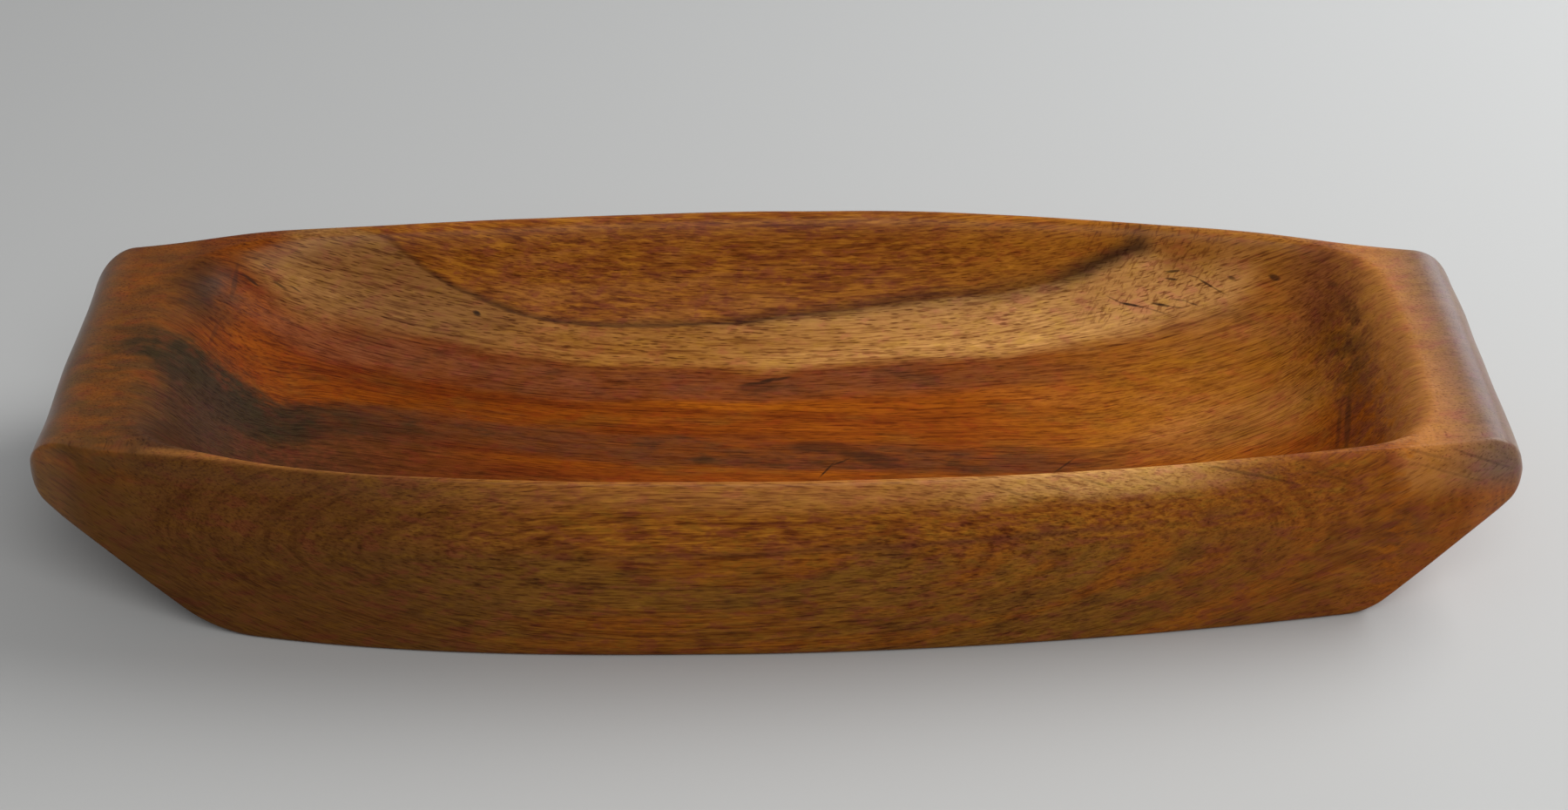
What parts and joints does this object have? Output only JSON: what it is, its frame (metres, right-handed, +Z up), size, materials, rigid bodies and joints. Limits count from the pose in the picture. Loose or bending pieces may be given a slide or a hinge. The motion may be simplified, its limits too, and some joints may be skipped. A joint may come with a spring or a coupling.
{
  "type": "carved wooden catchall tray",
  "caption": "Long low catchall tray carved from solid wood, with bowed sides, a smooth bowl-shaped hollow and bull-nosed, undercut ends that serve as grips.",
  "frame": {"origin": "on the table, under the middle of the tray", "axes": "+X along the tray from its left nose to its right nose, +Y from the near side to the far side, +Z up"},
  "size_m": [0.35, 0.132, 0.0513],
  "materials": {
    "oiled_hardwood": "satin oil over reddish brown hardwood with dark pores and a golden band of sapwood"
  },
  "bodies": {
    "root": {"tray_body": "oiled_hardwood"}
  },
  "joints": []
}
